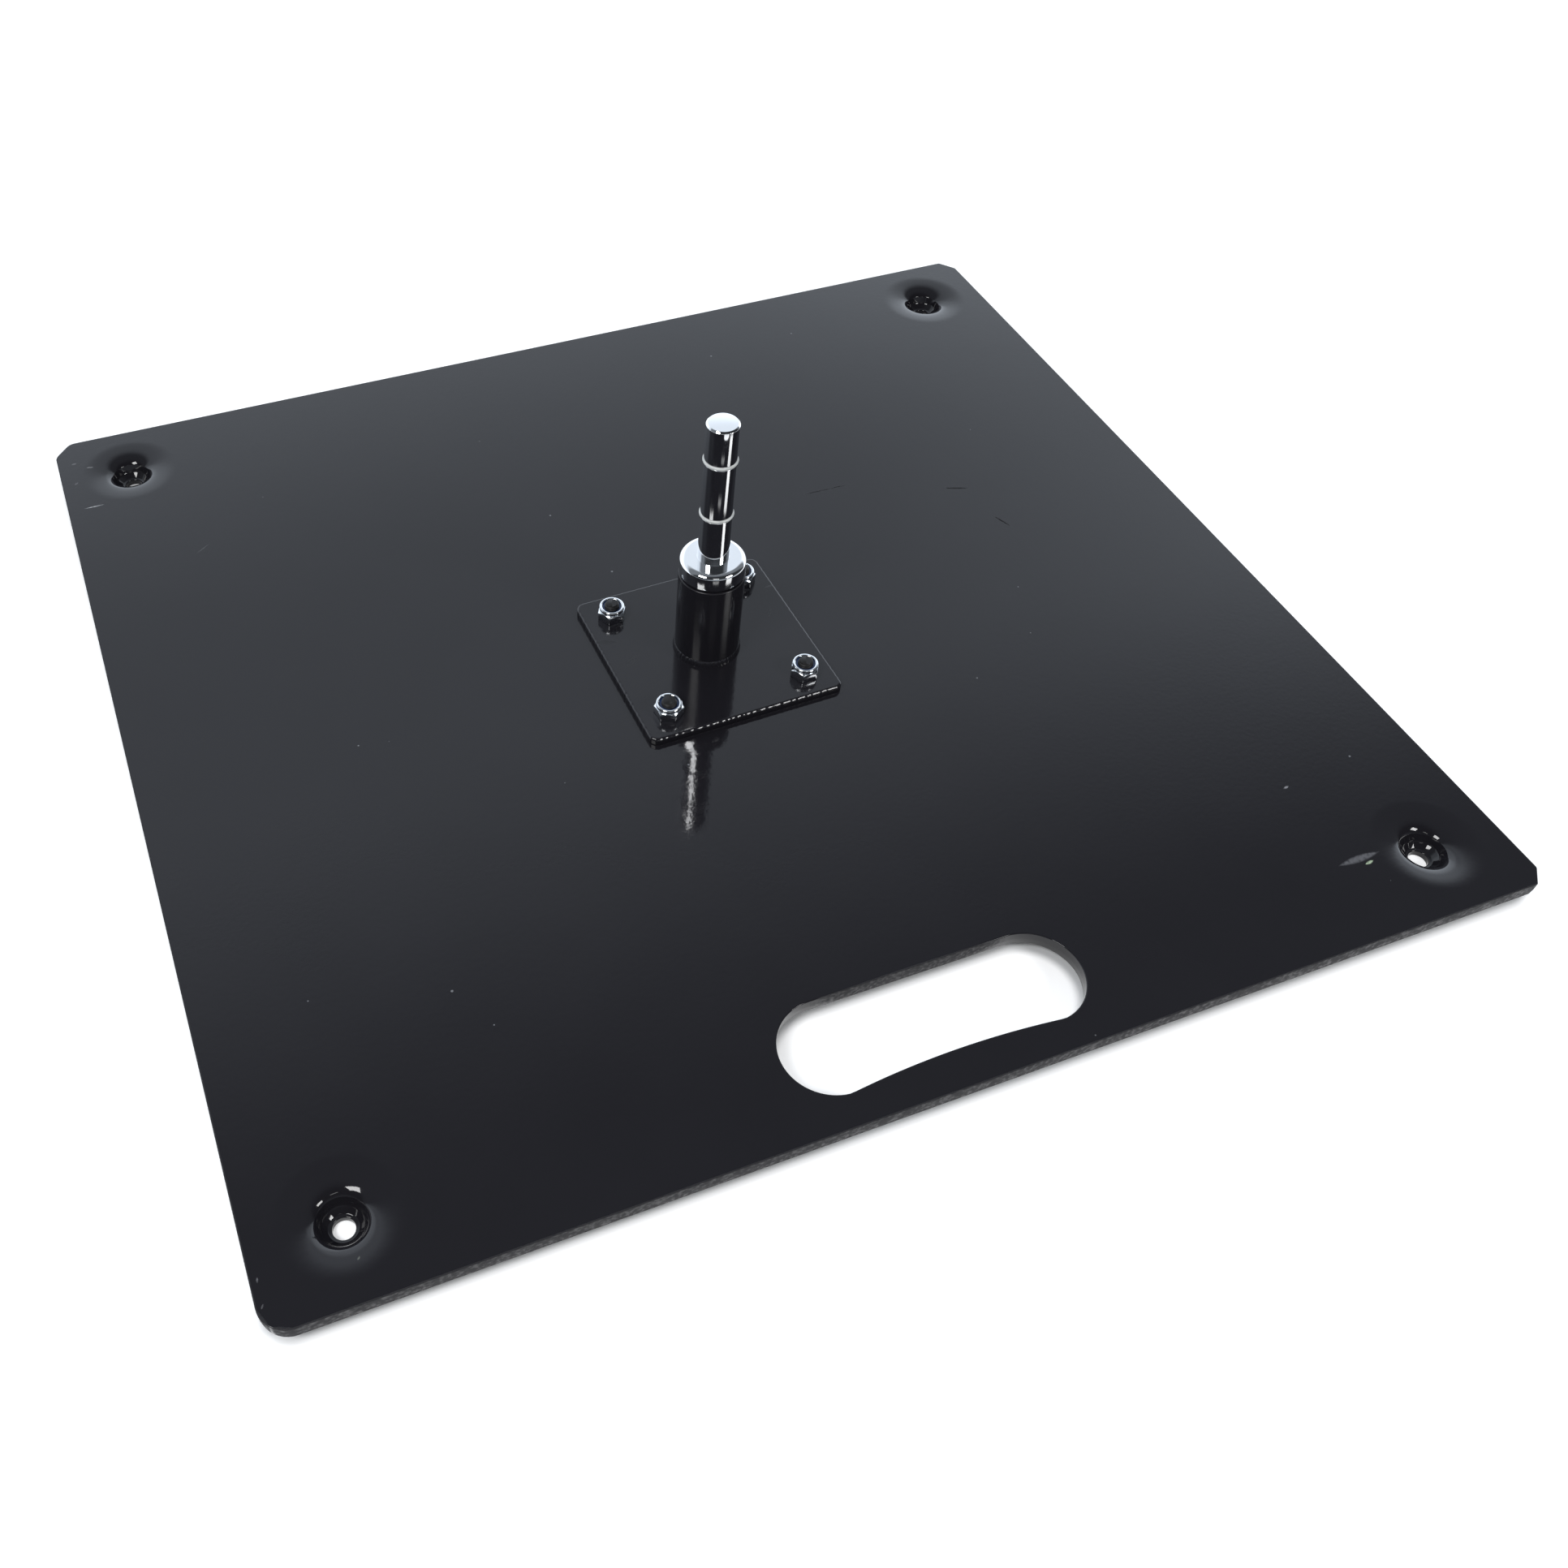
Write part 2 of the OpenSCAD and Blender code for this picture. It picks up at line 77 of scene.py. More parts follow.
camera.rotation_euler = [math.radians(angle) for angle in (39.2029, -0.5739, -21.0186)]
bpy.context.scene.collection.objects.link(camera)
bpy.context.scene.camera = camera
bpy.context.scene.view_settings.view_transform = "Standard"


# Studio: a white room, bright behind the object, dimmer overhead and dark towards the camera.
# Two softboxes stand in front, one on each side, and a small one between them.
def add_node(tree, kind, values=None, **settings):
    """Adds a shader node: settings are its properties, values its inputs, each a constant or a link."""
    node = tree.nodes.new("ShaderNode" + kind)
    for name, setting in settings.items():
        setattr(node, name, setting)
    for key, value in (values or {}).items():
        if isinstance(value, bpy.types.NodeSocket):
            tree.links.new(value, node.inputs[key])
        else:
            node.inputs[key].default_value = value
    return node


def maths(tree, operation, first, second=0.0):
    """The output of one Math node."""
    return add_node(tree, "Math", {0: first, 1: second}, operation=operation).outputs[0]


def spread(tree, value, low, high, low_result, high_result):
    """A smooth step from low_result, at or below low, to high_result, at or above high."""
    limits = {"Value": value, "From Min": low, "From Max": high, "To Min": low_result, "To Max": high_result}
    node = add_node(tree, "MapRange", limits, interpolation_type="SMOOTHSTEP")
    return node.outputs["Result"]


# Each light is the strength of one part of the room. A reach is where it begins and where it is full,
# as the way to the side, or to the back, for each step up.
overhead_light = 0.2
wall_light, wall_reach = 0.725, (0.46, 0.90)
right_wall_light, right_wall_reach = 0.4, (0.6, 1.2)
far_wall_light, far_wall_reach = 0.5, (1.1, 1.7)
front_glow, front_glow_reach = 0.35, (-4.0, -1.2)
front_shade, front_shade_reach = 0.17, (-0.5, 0.1)
horizon = 0.05
daylight_tint = (0.91, 0.995, 1.10, 1.0)

world = bpy.data.worlds.new("studio")
bpy.context.scene.world = world
world.use_nodes = True
room = world.node_tree
room.nodes.clear()
towards = add_node(room, "SeparateXYZ", {0: add_node(room, "TexCoord").outputs["Generated"]})
height = maths(room, "MAXIMUM", towards.outputs["Z"], horizon)
lean_back = maths(room, "DIVIDE", towards.outputs["Y"], height)
lean_right = maths(room, "DIVIDE", towards.outputs["X"], height)
lit_wall = spread(room, lean_right, *right_wall_reach, wall_light, wall_light + right_wall_light)
wall = maths(room, "MULTIPLY", lit_wall, spread(room, lean_back, *wall_reach, 0.0, 1.0))
far_wall = spread(room, lean_back, *far_wall_reach, overhead_light, overhead_light + far_wall_light)
front = spread(room, lean_back, *front_glow_reach, front_glow, 0.0)
dark_front = spread(room, lean_back, *front_shade_reach, -front_shade, 0.0)
room_light = maths(room, "ADD", maths(room, "ADD", wall, far_wall), maths(room, "ADD", front, dark_front))
background = add_node(room, "Background", {"Color": daylight_tint, "Strength": room_light})
add_node(room, "OutputWorld", {"Surface": background.outputs[0]})

# The hub is the spigot's axis, which the lamps are aimed at.
hub_x, hub_y = [value / MM for value in frame["joints"][0]["pos_m"][:2]]
softbox_distance = 1500


def add_softbox(name, turn, climb, width, height, radiance):
    """A rectangular lamp aimed at the hub.

    turn is its angle from the front towards the right, climb its angle above the floor, and its
    energy is radiance * pi * width * height.
    """
    lamp_data = bpy.data.lights.new(name, "AREA")
    lamp_data.shape = "RECTANGLE"
    lamp_data.size = width * MM
    lamp_data.size_y = height * MM
    lamp_data.energy = radiance * math.pi * width * height * MM * MM
    lamp = bpy.data.objects.new(name, lamp_data)
    turn, climb = math.radians(turn), math.radians(climb)
    away = Vector((math.sin(turn) * math.cos(climb), -math.cos(turn) * math.cos(climb), math.sin(climb)))
    lamp.location = (Vector((hub_x, hub_y, 0)) + away * softbox_distance) * MM
    lamp.rotation_euler = away.to_track_quat("Z", "Y").to_euler()
    bpy.context.scene.collection.objects.link(lamp)


add_softbox("right_softbox", turn=36, climb=35, width=420, height=290, radiance=19)
add_softbox("left_softbox", turn=-61, climb=49, width=480, height=420, radiance=17.5)
add_softbox("middle_softbox", turn=-10, climb=38, width=420, height=60, radiance=5)

# Base sheet: 6 mm steel, cut, with a hand slot and four feet pressed down round peg holes.
# Its edges are rounded by a thick black gloss paint, and their lower part leans in as a shear leaves it.
def round_corners(corners, radii, closed, step=9.0):
    """A polyline with its corners turned into arcs.

    An arc of radius r starts r * tan(turn / 2) before its corner and turns as far as the corner does,
    with one point for each step of turn in degrees. A radius of 0 keeps the corner.
    """
    corners = np.asarray(corners, float)
    points = []
    for index, corner in enumerate(corners):
        radius = radii[index] if np.ndim(radii) else radii
        at_end = not closed and index in (0, len(corners) - 1)
        if radius == 0 or at_end:
            points.append(corner)
            continue
        before = corner - corners[index - 1]
        after = corners[(index + 1) % len(corners)] - corner
        before /= np.linalg.norm(before)
        after /= np.linalg.norm(after)
        turn = math.atan2(before[0] * after[1] - before[1] * after[0], before @ after)
        start = corner - before * radius * math.tan(abs(turn) / 2)
        side = np.array([-before[1], before[0]]) * math.copysign(1.0, turn)
        angles = np.linspace(0, abs(turn), max(2, math.ceil(math.degrees(abs(turn)) / step) + 1))
        arc = start + radius * (np.outer(np.sin(angles), before) + np.outer(1 - np.cos(angles), side))
        points.extend(arc)
    return np.array(points)


def space_out(loop, spacing):
    """Adds points along the sides of a closed loop, so that none is longer than spacing."""
    after = np.roll(loop, -1, axis=0)
    counts = np.maximum(1, np.ceil(np.linalg.norm(after - loop, axis=1) / spacing)).astype(int)
    parts = [start + (end - start) * np.linspace(0, 1, count, endpoint=False)[:, None]
             for start, end, count in zip(loop, after, counts)]
    return np.concatenate(parts)


def outward(loop):
    """Unit normals of a loop that runs counter-clockwise, from the mean direction of its two sides."""
    sides = np.roll(loop, -1, axis=0) - loop
    sides /= np.linalg.norm(sides, axis=1)[:, None]
    along = sides + np.roll(sides, 1, axis=0)
    along /= np.linalg.norm(along, axis=1)[:, None]
    return np.stack([along[:, 1], -along[:, 0]], axis=1)


def raise_rings(flat, heights):
    """Rings of points in plan, each ring lifted to its height."""
    return np.concatenate([flat, np.broadcast_to(heights[:, None, None], flat.shape[:2] + (1,))], axis=2)


def edge_rings(loop, profile):
    """A profile of (offset, height) carried round a loop: rings of points moved out by each offset."""
    return raise_rings(loop[None] + profile[:, 0, None, None] * outward(loop)[None], profile[:, 1])


def turned_rings(profile, centre, count=96):
    """A profile of (radius, height) turned round a vertical axis: x = r cos a, y = r sin a."""
    angles = np.arange(count) * 2 * math.pi / count
    circle = np.stack([np.cos(angles), np.sin(angles)], axis=1)
    return raise_rings(profile[:, 0, None, None] * circle[None] + np.asarray(centre), profile[:, 1])


def skin(rings, inside_out=False, closed=False):
    """Points and faces of a grid of rings. Rings that run outwards and then down face outwards."""
    rows, columns = rings.shape[:2]
    numbers = np.arange(rows * columns).reshape(rows, columns)
    if closed:
        numbers = np.concatenate([numbers, numbers[:1]])
    right = np.roll(numbers, -1, axis=1)
    faces = np.stack([numbers[:-1], numbers[1:], right[1:], right[:-1]], axis=2).reshape(-1, 4)
    if inside_out:
        faces = faces[:, ::-1]
    return rings.reshape(-1, 3), faces


def flat_face(outer, holes, upwards):
    """Points and triangles of a level face between an outer loop and its holes."""
    loops = [outer, *holes]
    points = np.concatenate(loops)
    triangles = np.array(tessellate_polygon([[Vector(point) for point in loop] for loop in loops]))
    first, second, third = [points[triangles[:, corner]] for corner in range(3)]
    facing = np.cross(second - first, third - first)[:, 2]
    wrong = facing < 0 if upwards else facing > 0
    triangles[wrong] = triangles[wrong][:, ::-1]
    return points, triangles


def add_piece(name, shells, material, body, replaced, sharp=35):
    """Makes one mesh of several shells, with points that coincide merged and faces without area left out.

    It rides on a body, takes its finish from a slot and stands for the CAD nodes in replaced. Edges that
    turn by more than sharp degrees stay crisp.
    """
    points, faces = [], []
    count = 0
    for shell_points, shell_faces in shells:
        if shell_faces.shape[1] == 3:
            shell_faces = np.concatenate([shell_faces, shell_faces[:, 2:]], axis=1)
        points.append(shell_points)
        faces.append(shell_faces + count)
        count += len(shell_points)
    points = np.concatenate(points)
    merge_distance = 0.0005
    cells = np.round(points / merge_distance).astype(np.int64)
    first, numbers = np.unique(cells, axis=0, return_index=True, return_inverse=True)[1:]
    faces = numbers.reshape(-1)[np.concatenate(faces)]
    kept = faces != np.roll(faces, 1, axis=1)
    corners_left = kept.sum(axis=1)
    quads = faces[corners_left == 4]
    triangles = faces[corners_left == 3][kept[corners_left == 3]].reshape(-1, 3)
    mesh = bpy.data.meshes.new(name)
    mesh.from_pydata((points[first] * MM).tolist(), [], quads.tolist() + triangles.tolist())
    mesh.polygons.foreach_set("use_smooth", np.ones(len(mesh.polygons), bool))
    mesh.set_sharp_from_angle(angle=math.radians(sharp))
    mesh.materials.append(material)
    mesh.validate()
    piece = bpy.data.objects.new(name, mesh)
    bpy.context.scene.collection.objects.link(piece)
    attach(piece, body)
    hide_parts(*replaced)


def new_material(name, values):
    """A material with a Principled shader that has these inputs, and its tree, shader and coordinates."""
    material = bpy.data.materials.new(name)
    material.use_nodes = True
    tree = material.node_tree
    tree.nodes.clear()
    shader = add_node(tree, "BsdfPrincipled", values)
    add_node(tree, "OutputMaterial", {"Surface": shader.outputs[0]})
    place = add_node(tree, "TexCoord").outputs["Object"]
    return material, tree, shader, place


def noise(tree, place, wavelength, detail=2.0, roughness=0.5):
    """Noise from 0 to 1 with the given wavelength in millimetres."""
    values = {"Vector": place, "Scale": 1 / (wavelength * MM), "Detail": detail, "Roughness": roughness}
    return add_node(tree, "TexNoise", values).outputs["Fac"]


def uneven(tree, place, wavelength, detail, low, high):
    """A roughness that drifts between low and high in patches of the given wavelength."""
    return spread(tree, noise(tree, place, wavelength, detail), 0.3, 0.7, low, high)


def finish(tree, shader, colour, roughness, layers):
    """Links a colour, a roughness and stacked bumps, each a (height field, depth in millimetres)."""
    tree.links.new(colour, shader.inputs["Base Color"])
    tree.links.new(roughness, shader.inputs["Roughness"])
    below = None
    for field, depth in layers:
        node = add_node(tree, "Bump", {"Strength": 1.0, "Distance": depth * MM, "Height": field})
        if below:
            tree.links.new(below, node.inputs["Normal"])
        below = node.outputs["Normal"]
    tree.links.new(below, shader.inputs["Normal"])


def mix_colours(tree, share, first, second):
    """The colour between first and second at the given share."""
    node = add_node(tree, "Mix", {"Factor": share}, data_type="RGBA")
    for socket, value in ((node.inputs[6], first), (node.inputs[7], second)):
        if isinstance(value, bpy.types.NodeSocket):
            tree.links.new(value, socket)
        else:
            socket.default_value = (*value, 1.0)
    return node.outputs[2]


def stroke(tree, across, x, y, length, width, angle):
    """A mark with pointed ends: 1 where |v| is under width / 2 * (1 - (2u / length)^2), with a soft rim.

    u and v are the distances along and across the mark from its middle, at x and y.
    """
    cosine, sine = math.cos(math.radians(angle)), math.sin(math.radians(angle))
    offset_x = maths(tree, "SUBTRACT", across.outputs["X"], x * MM)
    offset_y = maths(tree, "SUBTRACT", across.outputs["Y"], y * MM)
    along = maths(tree, "ADD", maths(tree, "MULTIPLY", offset_x, cosine / MM),
                  maths(tree, "MULTIPLY", offset_y, sine / MM))
    beside = maths(tree, "SUBTRACT", maths(tree, "MULTIPLY", offset_y, cosine / MM),
                   maths(tree, "MULTIPLY", offset_x, sine / MM))
    share = maths(tree, "POWER", maths(tree, "ABSOLUTE", maths(tree, "MULTIPLY", along, 2 / length)), 2.0)
    room_left = maths(tree, "MULTIPLY", maths(tree, "SUBTRACT", 1.0, share), width / 2)
    depth = maths(tree, "SUBTRACT", room_left, maths(tree, "ABSOLUTE", beside))
    return spread(tree, depth, 0.0, width * 0.3, 0.0, 1.0)


def black_gloss_paint(name, gloss_low, gloss_high, strokes=(), dust=0.5, peel=0.014):
    """Stoved black gloss paint: orange peel, uneven gloss, dust under the lacquer and marks of handling.

    The marks are on the upper face and the edges, and none is on the underside.
    """
    paint_dark, paint_pale, dust_grey = (0.0104, 0.0098, 0.0124), (0.0132, 0.0126, 0.0156), (0.30, 0.31, 0.33)
    material, tree, shader, place = new_material(name, {"IOR": 1.43})
    colour = mix_colours(tree, noise(tree, place, 38.0, 3.0), paint_dark, paint_pale)
    gloss = spread(tree, noise(tree, place, 22.0, 4.0, 0.6), 0.35, 0.65, gloss_low, gloss_high)
    cells = add_node(tree, "TexVoronoi", {"Vector": place, "Scale": 1 / (11.0 * MM), "Randomness": 1.0})
    picked = spread(tree, add_node(tree, "SeparateColor", {0: cells.outputs["Color"]}).outputs[0],
                    1.0 - dust, 1.0, 0.0, 0.045)
    grain = maths(tree, "SUBTRACT", picked, cells.outputs["Distance"])
    speck = spread(tree, grain, 0.0, 0.012, 0.0, 1.0)
    colour = mix_colours(tree, maths(tree, "MULTIPLY", speck, 0.55), colour, dust_grey)
    across = add_node(tree, "SeparateXYZ", {0: place})
    upper = spread(tree, across.outputs["Z"], (sheet_bottom + 0.1) * MM, (sheet_bottom + 0.3) * MM, 0.0, 1.0)
    for x, y, length, width, angle, tint, roughness in strokes:
        mark = maths(tree, "MULTIPLY", upper, stroke(tree, across, x, y, length, width, angle))
        worn = maths(tree, "MULTIPLY", mark, spread(tree, noise(tree, place, 1.3, 3.0), 0.3, 0.6, 0.45, 1.0))
        colour = mix_colours(tree, worn, colour, tint)
        gloss = maths(tree, "ADD", maths(tree, "MULTIPLY", gloss, maths(tree, "SUBTRACT", 1.0, worn)),
                      maths(tree, "MULTIPLY", worn, roughness))
    layers = [(noise(tree, place, 17.0, 1.0), 0.008), (noise(tree, place, 1.7, 2.0), peel), (speck, 0.02)]
    finish(tree, shader, colour, gloss, layers)
    return material


plate_low, plate_high = [np.array(corner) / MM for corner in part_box("base_plate")]
sheet_t = 6.0
sheet_top = plate_high[2]
sheet_bottom = sheet_top - sheet_t
left, front_edge = plate_low[:2]
right, back_edge = plate_high[:2]
slot_shift, slot_y, slot_end, slot_run = -0.4, -184.0, 17.3, 36.7

# Marks in the paint: x, y, length, width, angle, colour and roughness of each.
# The first seven are dull cut edges: the four sides, the slot and the round corner. The others
# come from handling.
pale_scratch = (0.42, 0.43, 0.45)
dull_scratch = (0.004, 0.004, 0.005)
cut_edge = (0.0118, 0.0112, 0.014)
whole_side = 3000.0
plate_strokes = [
    (0.0, front_edge, whole_side, 1.3, 0, cut_edge, 0.75),
    (0.0, back_edge, whole_side, 1.3, 0, cut_edge, 0.75),
    (left, 0.0, whole_side, 1.3, 90, cut_edge, 0.75),
    (right, 0.0, whole_side, 1.3, 90, cut_edge, 0.75),
    (0.0, slot_y + slot_end, 84.0, 1.5, 0, cut_edge, 0.75),
    (-224.0, -206.5, 11.0, 1.9, 112.5, cut_edge, 0.75),
    (-219.0, -211.5, 11.0, 1.9, 157.5, cut_edge, 0.75),
    (-214.2, 164.9, 9.5, 0.8, 1, pale_scratch, 0.5),
    (83.5, 67.0, 28.0, 0.9, -1, dull_scratch, 0.95),
    (137.5, 48.2, 14.5, 1.5, -20, dull_scratch, 0.95),
    (145.0, 22.0, 11.5, 1.2, -68, dull_scratch, 0.95),
    (169.0, -181.5, 19.0, 3.4, 1, (0.10, 0.10, 0.11), 0.5),
    (171.3, -184.1, 4.2, 1.5, 8, (0.42, 0.52, 0.36), 0.55),
    (165.5, -145.2, 3.0, 1.2, 10, (0.22, 0.22, 0.24), 0.5),
    (-218.1, 197.3, 2.6, 1.4, 0, (0.13, 0.13, 0.14), 0.5),
    (-212.0, 192.7, 3.6, 1.2, -10, (0.17, 0.17, 0.18), 0.5),
    (-219.0, 183.2, 2.4, 1.3, 40, (0.12, 0.12, 0.13), 0.5),
    (-222.6, -195.2, 2.0, 0.8, 80, (0.10, 0.10, 0.11), 0.5),
    (-222.9, -203.2, 1.8, 0.7, 60, (0.12, 0.12, 0.13), 0.5),
    (-194.2, -198.8, 1.6, 0.8, 50, (0.14, 0.15, 0.13), 0.5),
    (-176.0, 122.0, 9.0, 0.7, 35, (0.05, 0.052, 0.056), 0.4),
]
sheet_paint = black_gloss_paint("sheet_gloss_paint", 0.05, 0.08, plate_strokes)

# Corners, counter-clockwise from the front left: rounded, clipped, clipped, clipped and softened.
# A clip is its length along the front or rear edge and along the side.
clip_front = (5.0, 6.0)
clip_rear = (5.5, 7.0)
clip_left = (7.0, 8.0)
corner_r, clip_round, soft_round = 9.5, 1.6, 5.0
sheet_corners = [
    (left, front_edge), (right - clip_front[0], front_edge), (right, front_edge + clip_front[1]),
    (right, back_edge - clip_rear[1]), (right - clip_rear[0], back_edge),
    (left + clip_left[0], back_edge), (left, back_edge - clip_left[1])]
sheet_outline = round_corners(sheet_corners, [corner_r] + [clip_round] * 4 + [soft_round] * 2, True)

# Hand slot: straight behind and round at its ends. In front is the grip bar, which bows in on a long arc.
grip_bow = 2.4
grip_half = slot_run + 2.0
slot_turn = 83
grip_arc = (grip_half ** 2 + grip_bow ** 2) / (2 * grip_bow)
grip_centre = np.array([slot_shift, slot_y - slot_end + grip_bow - grip_arc])


def arc(centre, radius, start, end, count):
    """Points on an arc from one angle to another."""
    angles = np.radians(np.linspace(start, end, count))
    return np.asarray(centre) + radius * np.stack([np.cos(angles), np.sin(angles)], axis=1)


grip_half_turn = math.degrees(math.asin(slot_run / grip_arc))
slot_outline = np.concatenate([
    arc((slot_shift + slot_run, slot_y), slot_end, -slot_turn, 90, 40),
    arc((slot_shift - slot_run, slot_y), slot_end, 90, 180 + slot_turn, 40),
    arc(grip_centre, grip_arc, 90 + grip_half_turn, 90 - grip_half_turn, 31)])

# The shear leaves the upper half of an edge upright and leans the lower half in.
margin = 0.3
edge_round = 0.35
shear_lean, shear_share, shear_round = 0.28, 0.52, 1.2
sheared_edge = round_corners([
    (edge_round + margin, sheet_top), (0, sheet_top), (0, sheet_top - sheet_t * shear_share),
    (shear_lean, sheet_bottom), (shear_lean + edge_round + margin, sheet_bottom)],
    [0, edge_round, shear_round, edge_round, 0], False)
plate_edge = edge_rings(sheet_outline, sheared_edge * [-1, 1])
slot_edge = edge_rings(slot_outline, sheared_edge)

# Feet: a shallow dish that falls ever faster into a funnel round the peg hole, with a bulge beneath it.
foot_x, foot_y = 196.0, 185.0
foot_spots = [(side * foot_x, end * foot_y) for side in (-1, 1) for end in (-1, 1)]
dish_r, dish_depth, pit_r, pit_floor, peg_r = 20.5, 3.2, 7.8, 2.4, 3.5
stand_r, bulge_r = 9.5, 19.5
share = np.linspace(0, 1, 25)
sunk = sheet_top - dish_depth * (0.6 * share ** 2.2 + 0.4 * share ** 9)
dish = np.stack([pit_r + (1 - share) * (dish_r - pit_r), sunk], axis=1)
bulge = np.stack([stand_r + share * (bulge_r - stand_r), sheet_bottom * (1 - (1 - share) ** 2)], axis=1)
pit = round_corners([
    dish[-2], dish[-1], (pit_r - 1.2, pit_floor + 2.0), (pit_r - 3.2, pit_floor + 0.2), (peg_r, pit_floor),
    (peg_r, 0), (stand_r, 0), bulge[1]], [0, 0.7, 2.2, 0.8, 0.4, 0.3, 0, 0], False, 12)
foot_profile = np.concatenate([[(dish_r + margin, sheet_top)], dish[:-2], pit[:-1], bulge[1:],
                               [(bulge_r + margin, sheet_bottom)]])
feet = [turned_rings(foot_profile, spot) for spot in foot_spots]

# Four countersinks take the bolts, on a square that is turned a little round the hub.
hub = np.array([hub_x, hub_y])
mount_turn = math.radians(1.2)
bolt_pitch = 56.6
cosine, sine = math.cos(mount_turn), math.sin(mount_turn)
turned = np.array([[cosine, sine], [-sine, cosine]])
bolt_spots = [hub + np.array(corner) * bolt_pitch / 2 @ turned
              for corner in ((-1, 1), (-1, -1), (1, -1), (1, 1))]
bolt_r, bolt_hole, head_r, head_rim = 2.95, 3.2, 6.0, 0.4
cone_top = sheet_bottom + head_rim + head_r - bolt_hole
countersink = np.array([(bolt_hole, sheet_top), (bolt_hole, cone_top), (head_r, sheet_bottom + head_rim),
                        (head_r, sheet_bottom)])
sinks = [turned_rings(countersink, spot, 48) for spot in bolt_spots]

sheet_shells = [skin(plate_edge), skin(slot_edge, True)]
sheet_shells += [skin(rings, True) for rings in feet + sinks]
sheet_holes = [slot_edge, *feet, *sinks]
sheet_shells += [flat_face(plate_edge[0], [rings[0] for rings in sheet_holes], True),
                 flat_face(plate_edge[-1], [rings[-1] for rings in sheet_holes], False)]
add_piece("painted_sheet", sheet_shells, sheet_paint, "base", ["base_plate"])

# Floor: white paper, which the camera and the polished faces see brighter than it lights the object.
# That lift is left off under the sheet and rises from 1.9 mm inside its edges to 2.3 mm beyond them: a
# painted shadow along the sheet's edges and round its slot.
floor_size = 12000
paper_white = (0.82, 0.83, 0.84, 1.0)
# The reach is the band of painted shadow, from 1.9 mm under the sheet's edge to 2.3 mm beyond it.
close_strength, painted_shadow_reach = 0.52, (-1.9, 2.3)
far_strength, far_reach = 0.4, (300, 900)
floor_paint = bpy.data.materials.new("studio_floor")
floor_paint.use_nodes = True
tree = floor_paint.node_tree
tree.nodes.clear()
matt_white = add_node(tree, "BsdfDiffuse", {"Color": paper_white})
rays = add_node(tree, "LightPath").outputs
mirrored = maths(tree, "MAXIMUM", rays["Is Glossy Ray"], rays["Is Transmission Ray"])
seen = maths(tree, "MAXIMUM", rays["Is Camera Ray"], mirrored)
ground = add_node(tree, "SeparateXYZ", {0: add_node(tree, "TexCoord").outputs["Object"]})
span_x = maths(tree, "ABSOLUTE", ground.outputs["X"])
span_y = maths(tree, "ABSOLUTE", ground.outputs["Y"])
past_x = maths(tree, "MAXIMUM", maths(tree, "SUBTRACT", span_x, cad_box[1][0] - corner_r * MM), 0.0)
past_y = maths(tree, "MAXIMUM", maths(tree, "SUBTRACT", span_y, cad_box[1][1] - corner_r * MM), 0.0)
squares = maths(tree, "ADD", maths(tree, "POWER", past_x, 2.0), maths(tree, "POWER", past_y, 2.0))
clear_of_sheet = maths(tree, "SUBTRACT", maths(tree, "SQRT", squares), corner_r * MM)


def nearness(x, y, reach, position_x):
    """How far a place on the floor lies inside a circle round x, y with the radius reach, in metres."""
    off_x = maths(tree, "POWER", maths(tree, "SUBTRACT", position_x, x * MM), 2.0)
    off_y = maths(tree, "POWER", maths(tree, "SUBTRACT", ground.outputs["Y"], y * MM), 2.0)
    return maths(tree, "SUBTRACT", reach * MM, maths(tree, "SQRT", maths(tree, "ADD", off_x, off_y)))


# Painted light: the floor seen through the slot glows as if the sheet did not shade it.
from_slot = maths(tree, "ABSOLUTE", maths(tree, "SUBTRACT", ground.outputs["X"], slot_shift * MM))
past_run = maths(tree, "MAXIMUM", maths(tree, "SUBTRACT", from_slot, slot_run * MM), 0.0)
open_floor = maths(tree, "MAXIMUM", clear_of_sheet, nearness(0.0, slot_y, slot_end, past_run))
# Painted light: the floor seen through the two front peg holes glows too. The rear holes stay without it.
open_floor = maths(tree, "MAXIMUM", open_floor, nearness(foot_x, -foot_y, peg_r + 1.5, span_x))
# Painted shadow: the glow ramps up across the sheet's edges, so the floor just beside them is darker than its
# real shading gives.
painted_edge_shadow_lift = spread(tree, open_floor, painted_shadow_reach[0] * MM, painted_shadow_reach[1] * MM, 0.0, close_strength)
farthest = maths(tree, "MAXIMUM", span_x, span_y)
far_lift = spread(tree, farthest, far_reach[0] * MM, far_reach[1] * MM, 0.0, far_strength)
lift_strength = maths(tree, "MULTIPLY", seen, maths(tree, "ADD", painted_edge_shadow_lift, far_lift))
lift = add_node(tree, "Emission", {"Color": (1.0, 1.0, 1.0, 1.0), "Strength": lift_strength})
floor_shader = add_node(tree, "AddShader", {0: matt_white.outputs[0], 1: lift.outputs[0]})
add_node(tree, "OutputMaterial", {"Surface": floor_shader.outputs[0]})
floor_mesh = bpy.data.meshes.new("floor")
half_floor = floor_size * MM / 2
floor_corners = [(side * half_floor, end * half_floor, 0)
                 for side, end in ((-1, -1), (1, -1), (1, 1), (-1, 1))]
floor_mesh.from_pydata(floor_corners, [], [(0, 1, 2, 3)])
floor_mesh.materials.append(floor_paint)
floor = bpy.data.objects.new("floor", floor_mesh)
bpy.context.scene.collection.objects.link(floor)


